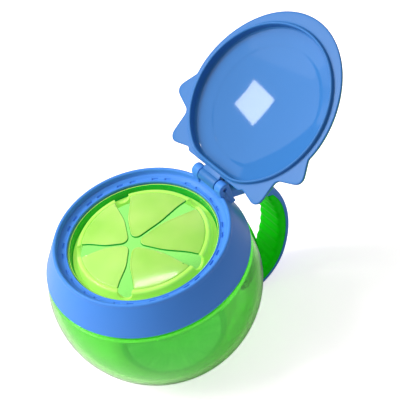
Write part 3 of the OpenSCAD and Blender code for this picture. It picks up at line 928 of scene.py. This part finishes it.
@dataclass
class Lid(Part):
    """The lid's inner shell with its knuckle, and the cover over it, drawn swung open."""

    swing: float = 151.0
    seat: float = 71.111
    wall: float = 36.2
    chord: float = 34.2
    wall_height: float = 2.5
    skirt_thick: float = 1.3
    skirt_deep: float = 1.7
    shell_thick: float = 1.2
    flange: float = 1.0
    flange_edge: float = 40.2
    lobe_reach: float = 46.6
    lobe_tip: float = 3.7
    # Of each lobe: the tip's turn and its extra reach, then the turn and the setback of both flanks' feet.
    lobes: tuple[tuple[float, ...], ...] = (
        (21.8, 0.0, 10.2, 0.1, 34.2, 0.3),
        (50.2, 0.8, 37.4, 0.2, 61.0, 0.1))
    tab: float = 3.7
    rear: float = 36.6
    slope: float = math.tan(math.radians(15))
    ring: float = 7.1
    step: tuple[float, float] = (1.6, 0.08)
    cover_gap: float = 0.05
    cover_thick: float = 0.75
    cover_dome: float = 1.0
    turns: int = 720

    def open(self, points: Array, turn: float = -1.0) -> Array:
        """Swing points about the hinge.

        Args:
            points: array (..., 3).
            turn: -1 from the shut lid to the open one, 1 back.

        Returns:
            The points in their new places.
        """
        hy, hz = HINGE
        t = math.radians(turn * self.swing)
        y, z = points[..., 1] - hy, points[..., 2] - hz
        return np.stack([points[..., 0], hy + y * math.cos(t) - z * math.sin(t),
                         hz + y * math.sin(t) + z * math.cos(t)], -1)

    def lobe(self, turn: float, extra: float, *feet: float) -> list[Array]:
        """Outline of one lobe: a round tip with straight flanks that touch it.

        Args:
            turn: angle of the tip's centre about the lid's axis, in degrees.
            extra: how far the tip reaches past the first lobe's.
            feet: angle in degrees, and setback from the flange's edge, of each flank's foot.

        Returns:
            The first foot, the tip's arc and the second foot, arrays (n, 2).
        """
        r = self.lobe_tip
        centre = polar(math.radians(turn), self.lobe_reach + extra - r)
        ends = [polar(math.radians(feet[i]), self.flange_edge - feet[i + 1]) for i in (0, 2)]
        touch = []
        for foot, side in zip(ends, (-1.0, 1.0)):
            length = np.linalg.norm(centre - foot)
            lean = bearing(centre - foot) + side * math.asin(r / length)
            touch.append(bearing(foot + polar(lean, math.sqrt(length**2 - r**2)) - centre))
        span = (touch[1] - touch[0] + math.pi) % (2 * math.pi) - math.pi
        tip = centre + polar(touch[0] + span * np.linspace(0, 1, 20), r)
        return [ends[0][None], tip, ends[1][None]]

    def edge(self, back: float) -> Array:
        """Radius of the flange's edge at each angle round the lid.

        One half is drawn, from the finger tab round two lobes to the straight rear edge, and mirrored. The
        valleys are softened over about a degree.

        Args:
            back: how far the edge is set back from the flange's own.

        Returns:
            Array (turns,) of radii, for angles from 0 round to 360 degrees.
        """
        a = np.radians(np.arange(-90.0, 7.0, 1.0))
        line = [polar(a, self.flange_edge + self.tab * np.maximum(0.0, -np.sin(a)) ** 3)]
        for lobe in self.lobes:
            line += self.lobe(*lobe)
        line.append(np.array([[18.0, self.rear], [0.0, self.rear]]))
        half = even(np.concatenate(line), 1600, closed=False)
        turn, reach = np.degrees(np.arctan2(half[:, 1], half[:, 0])), np.hypot(half[:, 0], half[:, 1])
        a = np.arange(self.turns) * 360.0 / self.turns
        folded = np.where((a > 90) & (a < 270), 180 - a, (a + 180) % 360 - 180)
        order = np.argsort(turn)
        radius = np.interp(folded, turn[order], reach[order])
        kernel = np.exp(-0.5 * (np.arange(-4, 5) / 1.7) ** 2)
        padded = np.concatenate([radius[-4:], radius, radius[:4]])
        return np.convolve(padded, kernel / kernel.sum(), "valid") - back

    def well(self, grow: float) -> Array:
        """Radius of the hollow's upright wall at each angle: a circle, cut flat towards the hinge.

        It is a smooth minimum of the two, -log(exp(-k a) + exp(-k b)) / k, which rounds the corners where
        they meet.

        Args:
            grow: how far outside the hollow's own wall.

        Returns:
            Array (turns,) of radii.
        """
        a = np.arange(self.turns) * 2 * np.pi / self.turns
        flat = (self.chord + grow) / np.maximum(np.sin(a), 0.05)
        circle = self.wall + grow
        k, far = 1.6, 400.0
        return -np.log(np.exp(-circle * k) + np.exp(-np.minimum(flat, far) * k)) / k

    def hollow(self, r: Array) -> Array:
        """Height of the hollow: a sloping ring, a slight smooth step and a shallow dome.

        Args:
            r: radii from the lid's axis.

        Returns:
            Heights over the seat, of the same shape.
        """
        ring = self.wall - self.ring
        dome = ring - self.step[0]
        cap = (self.wall - dome) * self.slope + (dome**2 - r**2) * self.slope / (2 * dome)
        slant = np.where(r > dome, (self.wall - r) * self.slope, cap)
        return self.wall_height + slant + self.step[1] * smooth((ring - r) / self.step[0])

    def pan(self, wall: Array, lift: float, foot: float, inward: bool) -> tuple[Array, Array]:
        """Radius and height of a domed pan along each angle.

        Args:
            wall: radius of the upright wall at each angle.
            lift: height above the hollow's own surface.
            foot: height at which the wall starts.
            inward: list the points from the wall in to the middle, and not outwards.

        Returns:
            Two arrays (turns, points).
        """
        bend, lean = 1.2 + lift, math.radians(75.0)
        w = wall[:, None]
        s = np.concatenate([np.linspace(0.001, 0.72, 24), np.linspace(0.735, 0.86, 14),
                            np.linspace(0.88, 1.0, 6)])
        top_r = s[None, :] * (w - bend * (1 - math.cos(lean)))
        top_z = self.hollow(top_r) + lift
        a = np.linspace(lean, 0.0, 9)[None, 1:]
        base = top_z[:, -1:] - bend * math.sin(lean)
        r = np.concatenate([top_r, w - bend + bend * np.cos(a), w], 1)
        z = np.concatenate([top_z, base + bend * np.sin(a), np.full_like(w, foot)], 1)
        return (r[:, ::-1], z[:, ::-1]) if inward else (r, z)

    def steps(self, base: Array, offsets: Array | Sequence[Sequence[float]]) -> tuple[Array, Array]:
        """Radius and height of points that keep their distance from a line round the lid.

        Args:
            base: radius of the line at each angle.
            offsets: array (n, 2) of distance outwards from the line and of height over the seat.

        Returns:
            Two arrays (turns, n).
        """
        offsets = np.asarray(offsets)
        r = base[:, None] + offsets[None, :, 0]
        return r, np.broadcast_to(offsets[None, :, 1], r.shape)

    def sheet(self, start: Array, stop: Array, height: float, share: Array) -> tuple[Array, Array]:
        """Radius and height of flat rows between two radii, at shares of the way."""
        r = start[:, None] * (1 - share[None]) + stop[:, None] * share[None]
        return r, np.full_like(r, height)

    def sweep(self, name: str, *runs: tuple[Array, Array]) -> bpy.types.Object:
        """Put runs of radii and heights round the lid's axis, swing them open and mesh them.

        Args:
            name: name of the piece.
            runs: arrays (turns, points) of radius and of height over the seat, in order along the section.

        Returns:
            The piece.
        """
        r, z = (np.concatenate(part, 1) for part in zip(*runs))
        a = (np.arange(self.turns) * 2 * np.pi / self.turns)[:, None]
        points = np.stack([r * np.cos(a), r * np.sin(a), self.seat + z], -1)
        return grid_mesh(name, np.transpose(self.open(points), (1, 0, 2)))

    def shell(self) -> bpy.types.Object:
        """Make the inner shell: hollow, skirt, flange with rounded edge, and its back.

        Returns:
            The shell.
        """
        f, c, deep = self.flange, self.skirt_thick / 2, self.skirt_deep
        wall, outer, edge = self.well(0.0), self.well(self.skirt_thick), self.edge(0.0)
        behind = self.well(self.shell_thick)
        lip = polar(np.radians(np.linspace(180.0, 360.0, 9)), c)[1:-1] + [c, c - deep]
        root = [[0.0, c - deep], [0.0, -0.45], [0.1, -0.18], [0.35, -0.03], [0.7, 0.0]]
        rim = polar(np.radians(np.linspace(-90.0, 90.0, 9)), f / 2) + [-f / 2, f / 2]
        return self.sweep(
            "lid_inner",
            self.pan(wall, 0.0, 0.0, inward=False),
            self.steps(wall, np.concatenate([[[0.0, c - deep]], lip])),
            self.steps(outer, root),
            self.sheet(outer + 0.7, edge - 0.6, 0.0, np.linspace(0.0, 1.0, 6)[1:-1]),
            self.steps(edge, rim),
            self.sheet(behind + 0.4, edge - 0.6, f, np.linspace(1.0, 0.0, 5)[1:-1]),
            self.pan(behind, self.shell_thick, f, inward=True))

    def cover(self) -> bpy.types.Object:
        """Make the cover: a thin plate behind the flange and a dome behind the hollow.

        Returns:
            The cover.
        """
        t, edge = self.cover_thick, self.edge(0.35)
        low, share = self.flange + self.cover_gap, np.linspace(0.0, 1.0, 6)[1:-1]
        near = self.shell_thick + self.cover_gap
        far = near + self.cover_dome
        rim = polar(np.radians(np.linspace(-90.0, 90.0, 7)), t / 2) + [-t / 2, low + t / 2]
        return self.sweep(
            "lid_outer",
            self.pan(self.well(near), near, low, inward=False),
            self.sheet(self.well(near) + 0.3, edge - 0.5, low, share),
            self.steps(edge, rim),
            self.sheet(edge - 0.5, self.well(far) + 0.5, low + t, share),
            self.pan(self.well(far), far, low + t, inward=True))

    def knuckle(self) -> bpy.types.Object:
        """Make the knuckle: the barrel about the pin and the web that joins it to the flange.

        Returns:
            The knuckle.
        """
        hy, s = HINGE[0], self.seat
        barrel = np.array(HINGE) + polar(np.radians(np.linspace(227.0, 530.0, 44)), 3.0)
        web = [[hy - 3.3, s + 2.45], [hy - 3.65, s + 2.2], [hy - 3.75, s + 1.1], [hy - 4.6, s + 0.95],
               [hy - 4.8, s + 0.5], [hy - 4.6, s + 0.05], [hy - 3.6, s - 0.02], [hy - 2.5, s - 0.06]]
        outline = even(np.concatenate([barrel, web]), 120)
        return prism("lid_knuckle", outline, -5.6, 5.6, 0.35, self.open)

    def build(self) -> None:
        """Make the shell, the knuckle and the cover."""
        shell = self.shell()
        self.stand_for(shell, "lid", "lid_inner", self.finishes.lid, "lid_shell")

        def inside(middle: Array, normal: Array) -> Array:
            """Faces within the hollow's wall."""
            shut = self.open(middle, 1.0)
            return np.hypot(shut[:, 0], shut[:, 1]) < self.wall - 0.02

        self.inlay(shell, self.finishes.hollow, inside)
        self.stand_for(self.knuckle(), "lid", "lid_inner", self.finishes.lid)
        self.stand_for(self.cover(), "lid", "lid_outer", self.finishes.cover, "lid_cover")


@dataclass
class Handle(Part):
    """The C-shaped strap with the web that the open lid rests on, and its ribbed grip.

    The strap's outer line leaves its root along a straight neck and goes on in three arcs. Its outward
    normal stands at b_end above the table's plane along the neck, and at a1, a2 and c_end where the arcs
    end. The shares are the first and the last arc's radius over the middle one's.
    """

    width: float = 15.0
    neck: float = 6.1
    grip: float = 5.6
    strap: float = 2.0
    ribs: int = 12
    rib_depth: float = 0.55
    reach: float = 69.5
    heel: float = 0.7
    root: tuple[float, float] = (43.45, 69.011)
    upper_share: float = 25 / 42
    lower_share: float = 24 / 42
    b_end: float = math.radians(66.0)
    a1: float = math.radians(26.0)
    a2: float = math.radians(-33.0)
    c_end: float = math.radians(-100.0)
    lid_back: float = 2.55
    lid_clear: float = 0.45

    def __post_init__(self) -> None:
        """Work out the three arcs that span from the root down to the heel."""
        kb, kc, ry, rz = self.upper_share, self.lower_share, *self.root
        sin, cos, tan = math.sin, math.cos, math.tan(self.b_end)
        up = kc - (1 - kc) * sin(self.a2) + (1 - kb) * sin(self.a1) + kb * sin(self.b_end)
        out = (1 - kb) * cos(self.a1) + kb * cos(self.b_end) - 1
        ra = (rz - self.heel - (self.reach - ry) / tan) / (up + out / tan)
        rb, rc = kb * ra, kc * ra
        a = np.array([self.reach - ra, self.heel + rc - (ra - rc) * sin(self.a2)])
        b, c = a + polar(self.a1, ra - rb), a + polar(self.a2, ra - rc)
        self.arcs = np.array([[*b, rb], [*a, ra], [*c, rc]])
        self.starts = np.array([self.b_end, self.a1, self.a2])
        self.straight = (b[0] + rb * cos(self.b_end) - ry) / sin(self.b_end)
        spans = -np.diff([*self.starts, self.c_end]) * [rb, ra, rc]
        self.stops = self.straight + np.concatenate([[0.0], np.cumsum(spans)])
        self.total = float(self.stops[-1])
        self.grip_from = float(self.stops[1]) + 3.6
        self.grip_to = self.total - 4.8

    def place(self, length: Array, across: Array, depth: Array) -> Array:
        """Point of the bar at a length from its root.

        On an arc of centre (y, z), radius R and angle A, a point is (across, y + (R - depth) cos A,
        z + (R - depth) sin A). Before the first arc it is slid back along the neck.

        Args:
            length: array (rows, 1) of lengths along the outer line.
            across: array (rows, cols) along X.
            depth: array (rows, cols) inwards from the outer line.

        Returns:
            Array (rows, cols, 3).
        """
        k = np.clip(np.searchsorted(self.stops[1:-1], length[:, 0], side="right"), 0, 2)
        y, z, r = (self.arcs[k, i][:, None] for i in range(3))
        gone = np.maximum(0.0, length - self.stops[k][:, None])
        angle = self.starts[k][:, None] - gone / r
        back = np.maximum(0.0, self.straight - length) * (1 - depth / math.tan(self.b_end) / self.straight)
        py = y + (r - depth) * np.cos(angle) - back * np.sin(angle)
        pz = z + (r - depth) * np.sin(angle) + back * np.cos(angle)
        return np.stack([np.broadcast_to(across, py.shape), py, pz], -1)

    def strap_depth(self, length: Array) -> Array:
        """Thickness of the strap: full at the neck and the heel, thin behind the grip.

        Args:
            length: lengths along the outer line.

        Returns:
            Thicknesses, of the same shape.
        """
        start, stop, taper = self.grip_from - 0.6, self.grip_to + 0.8, 14.0
        thin = self.strap + 1.2 * np.clip((start + taper - length) / taper, 0, 1) ** 2
        top, end = smooth((start + 2.0 - length) / 3.4), smooth((length - stop + 1.0) / 3.0)
        return thin + (self.neck - thin) * np.maximum(top, end)

    def section(self, w: Array, d0: Array, d1: Array, ko: Array, ki: Array) -> tuple[Array, Array]:
        """Rounded oblong section at each length.

        Args:
            w: half width, array (rows, 1) as all the others.
            d0: depth of the outer face.
            d1: depth of the inner face.
            ko: radius of the outer corners.
            ki: radius of the inner corners.

        Returns:
            Two arrays (rows, cols): place across, and depth.
        """
        a = np.radians(np.linspace(0.0, 90.0, 7))[None]
        s, c = np.sin(a), np.cos(a)
        flat = np.linspace(-1.0, 1.0, 9)[None, 1:-1]
        outer, inner = w - ko, w - ki
        across = [outer + ko * s, inner + ki * c, -flat * inner, -inner - ki * s, -outer - ko * c,
                  flat * outer]
        up, down = d0 + ko, d1 - ki
        depth = [up - ko * c, down + ki * s, d1 + 0.0 * flat, down + ki * c, up - ko * s, d0 + 0.0 * flat]
        return np.concatenate(across, 1), np.concatenate(depth, 1)

    def strap_piece(self) -> bpy.types.Object:
        """Carry the strap's section from root to heel, closing in round the heel over its last 2.6 mm.

        Returns:
            The strap.
        """
        length = np.linspace(0.0, self.total, 320)[:, None]
        tail = np.maximum(0.0, (length - self.total + 2.6) / 2.6)
        inset = 2.2 * (1 - np.sqrt(1 - 0.98 * tail**2))
        d = self.strap_depth(length)
        inner = np.maximum(0.15, 2 * (d - 2.4) / (self.neck - 2.4))
        most = d / 2 - inset / 2
        across, depth = self.section(self.width / 2 - inset, inset, d - inset, np.minimum(1.9, most),
                                     np.minimum(inner, most))
        return grid_mesh("handle_strap", self.place(length, across, depth))

    def grip_piece(self) -> bpy.types.Object:
        """Carry the grip's section along the strap's inner face, with a depth that waves at each rib.

        Returns:
            The grip.
        """
        s = np.linspace(0.0, 1.0, 420)[:, None]
        length = self.grip_from + (self.grip_to - self.grip_from) * s
        wave = self.rib_depth / 2 * (1 - np.cos(2 * np.pi * self.ribs * s)) - 0.1
        d0 = self.strap_depth(length) + 0.06
        end = np.minimum(1.0, 14 * np.minimum(s, 1 - s))
        d1 = np.maximum(self.grip + wave * end - 0.5 * (1 - end) ** 2, d0 + 0.5)
        inner = np.minimum(1.9, (d1 - d0) * 0.45)
        w = self.width / 2 - 0.1 + 0.12 * wave * end
        across, depth = self.section(w, d0, d1, np.full_like(d1, 0.25), inner)
        return grid_mesh("handle_grip_soft", self.place(length, across, depth))

    def web(self) -> Array:
        """Side outline of the web that the open lid rests on.

        Returns:
            Closed outline, array (n, 2) of Y and Z.
        """
        ry, rz = self.root
        lean = math.radians(29.0)

        def rest(u: float) -> Array:
            """Point that clears the open lid's back by lid_clear, at a length u from the hinge."""
            d = self.lid_back + self.lid_clear + max(0.0, u - 5.4) * math.tan(math.radians(16.6))
            return np.array(HINGE) + polar(lean, u) + polar(lean - math.pi / 2, d)

        def neck(y: float) -> float:
            """Height of the strap's neck at y."""
            return rz - (y - ry) / math.tan(self.b_end)

        near, far = rest(2.7), rest(8.5)
        end = far[0] + 0.5
        return fillet([(ry, neck(ry) - 4, 0.0), (end, neck(end) - 3, 0.0), (end, neck(end), 0.0),
                       (end, far[1] - 0.8, 0.6), (*far, 0.5), (*near, 0.4), (ry + 0.4, near[1], 0.2),
                       (ry + 0.4, 68.4, 0.0), (ry, 67.4, 0.0)], 5)

    def build(self) -> None:
        """Make the strap, its web and the grip."""
        blue = self.finishes.collar
        self.stand_for(self.strap_piece(), "collar", "collar", blue, "handle")
        self.stand_for(prism("handle_web", self.web(), -4.5, 4.5, 0.4), "collar", "collar", blue)
        self.stand_for(self.grip_piece(), "collar", "grip", self.finishes.grip, "handle_grip")


# Studio


@dataclass(frozen=True)
class Softbox:
    """A rectangular lamp with an even face.

    It hangs at a distance from the point it faces, in the direction towards, with its width along side. Its
    power is pi times the radiance of its face times the face's area. A lamp that is mirrored shows in glossy
    surfaces.
    """

    name: str
    towards: Triple
    size: tuple[float, float]
    radiance: float
    distance: float = 1000.0
    side: Triple = (0.0, 0.0, 1.0)
    about: Triple = (0.0, 30.0, 50.0)
    mirrored: bool = True

    def hang(self) -> None:
        """Put the lamp into the scene."""
        data = bpy.data.lights.new(self.name, "AREA")
        data.shape = "RECTANGLE"
        data.size, data.size_y = (v * MM for v in self.size)
        data.energy = math.pi * self.radiance * data.size * data.size_y
        lamp = show(self.name, data)
        way = Vector(self.towards).normalized()
        upright = way.cross(Vector(self.side)).normalized()
        turn = Matrix((upright.cross(way), upright, way)).transposed().to_4x4()
        lamp.matrix_world = Matrix.Translation((Vector(self.about) + way * self.distance) * MM) @ turn
        lamp.visible_glossy = self.mirrored


@dataclass
class Studio:
    """Floor, lights and camera.

    A broad key from the left gives the form. The small box is the bright square seen in the lid's hollow,
    the strip shines on the front flap, and the panels are the paler patches in the blue.
    """

    azimuth: float = 64.29727
    elevation: float = 46.5744
    roll: float = -17.17775
    distance: float = 1400.0
    across: float = -19.83425
    up: float = -34.52335
    aim: Triple = (0.0, 0.0, 41.5)
    focal_px: float = 3148.547
    frame_px: float = 400.0
    fill_light: float = 0.34
    mirrored_light: float = 0.06
    paper: tuple[float, float] = (-700.0, 320.0)
    lamps: tuple[Softbox, ...] = (
        Softbox("key_broad", (-0.42, -0.62, 0.66), (1500.0, 1300.0), 5.4, 2200.0, mirrored=False),
        Softbox("box_small", (-0.4769, -0.4435, 0.7588), (212.0, 269.0), 12.0,
                side=(-0.0869, -0.8353, -0.5429), about=(-9.4, 76.4, 87.0)),
        Softbox("panel_high", (-0.4884, -0.7657, 0.4185), (700.0, 320.0), 0.5,
                side=(-0.8111, 0.2216, -0.5412), about=(-6.9, 98.9, 103.7)),
        Softbox("strip_thin", (-0.345, 0.155, 0.926), (280.0, 26.0), 40.0, side=(0.498, 0.866, 0.04),
                about=(23.0, -11.0, 67.6)),
        Softbox("panel_wide", (-0.50, -0.50, 0.70), (1500.0, 1500.0), 0.8, 1400.0, about=(0.0, 80.0, 90.0)),
    )

    def axes(self) -> tuple[Vector, Vector, Vector]:
        """Work out how the camera is turned.

        Returns:
            Its right, up and backward directions.
        """
        a, e, r = (math.radians(v) for v in (self.azimuth, self.elevation, self.roll))
        back = Vector((math.sin(a) * math.cos(e), -math.cos(a) * math.cos(e), math.sin(e)))
        right = Vector((math.cos(a), math.sin(a), 0.0))
        up = back.cross(right)
        return right * math.cos(r) + up * math.sin(r), up * math.cos(r) - right * math.sin(r), back

    def camera(self) -> None:
        """Set the camera that the photograph was taken with, as fitted to it."""
        right, up, back = self.axes()
        data = bpy.data.cameras.new("camera")
        data.sensor_width = 36.0
        data.lens = self.focal_px / self.frame_px * data.sensor_width
        data.clip_start, data.clip_end = 0.05, 20.0
        camera = show("camera", data)
        place = Vector(self.aim) - right * self.across - up * self.up + back * self.distance
        turn = Matrix((right, up, back)).transposed().to_4x4()
        camera.matrix_world = Matrix.Translation(place * MM) @ turn
        bpy.context.scene.camera = camera

    def world(self) -> None:
        """Soft white surroundings: white to the camera, and dim in mirror images, as in a dark room."""
        world = bpy.data.worlds.new("studio")
        bpy.context.scene.world = world
        world.use_nodes = True
        tree = world.node_tree
        path = add(tree, "LightPath").outputs
        seen = add(tree, "Math", {0: path["Is Camera Ray"], 1: path["Is Transmission Ray"]},
                   operation="MAXIMUM")
        level = add(tree, "MapRange", {"Value": path["Is Glossy Ray"], "To Min": self.fill_light,
                                       "To Max": self.mirrored_light})
        strength = add(tree, "Math", {0: level.outputs["Result"], 1: seen.outputs[0]}, operation="MAXIMUM")
        fill(tree, tree.nodes["Background"], {"Color": (1.0, 1.0, 1.0, 1.0), "Strength": strength.outputs[0]})

    def floor(self) -> None:
        """Lay a sheet of paper on the table, more of it on the lit side."""
        low, high = self.paper
        corner = np.array([[low, low, 0.0], [high, low, 0.0], [high, high, 0.0], [low, high, 0.0]])
        mesh = bpy.data.meshes.new("floor")
        mesh.from_pydata((corner * MM).tolist(), [], [(0, 1, 2, 3)])
        mesh.materials.append(StudioPaper("studio_paper_white", "f6e8f2").build())
        piece = show("floor", mesh)
        piece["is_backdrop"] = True

    def build(self) -> None:
        """Set the view transform, floor, world, lamps and camera."""
        bpy.context.scene.view_settings.view_transform = "Standard"
        self.floor()
        self.world()
        for lamp in self.lamps:
            lamp.hang()
        self.camera()


def corners(box: tuple[Vector, Vector]) -> list[list[float]]:
    """A box's two corners as plain lists."""
    return [[float(v) for v in corner] for corner in box]


def main(frame: dict[str, Any]) -> None:
    """Build the studio and every sub-assembly.
    """
    before = corners(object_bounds())
    finishes = Finishes()
    Studio().build()
    for kind in (Bowl, Collar, FlapInsert, Lid, Handle):
        kind(frame, finishes).build()
    {"cad": before, "visual": corners(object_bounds())}


if __name__ == "__main__":
    logging.basicConfig(level=logging.INFO, format="%(name)s %(message)s")
    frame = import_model()
    main(frame)
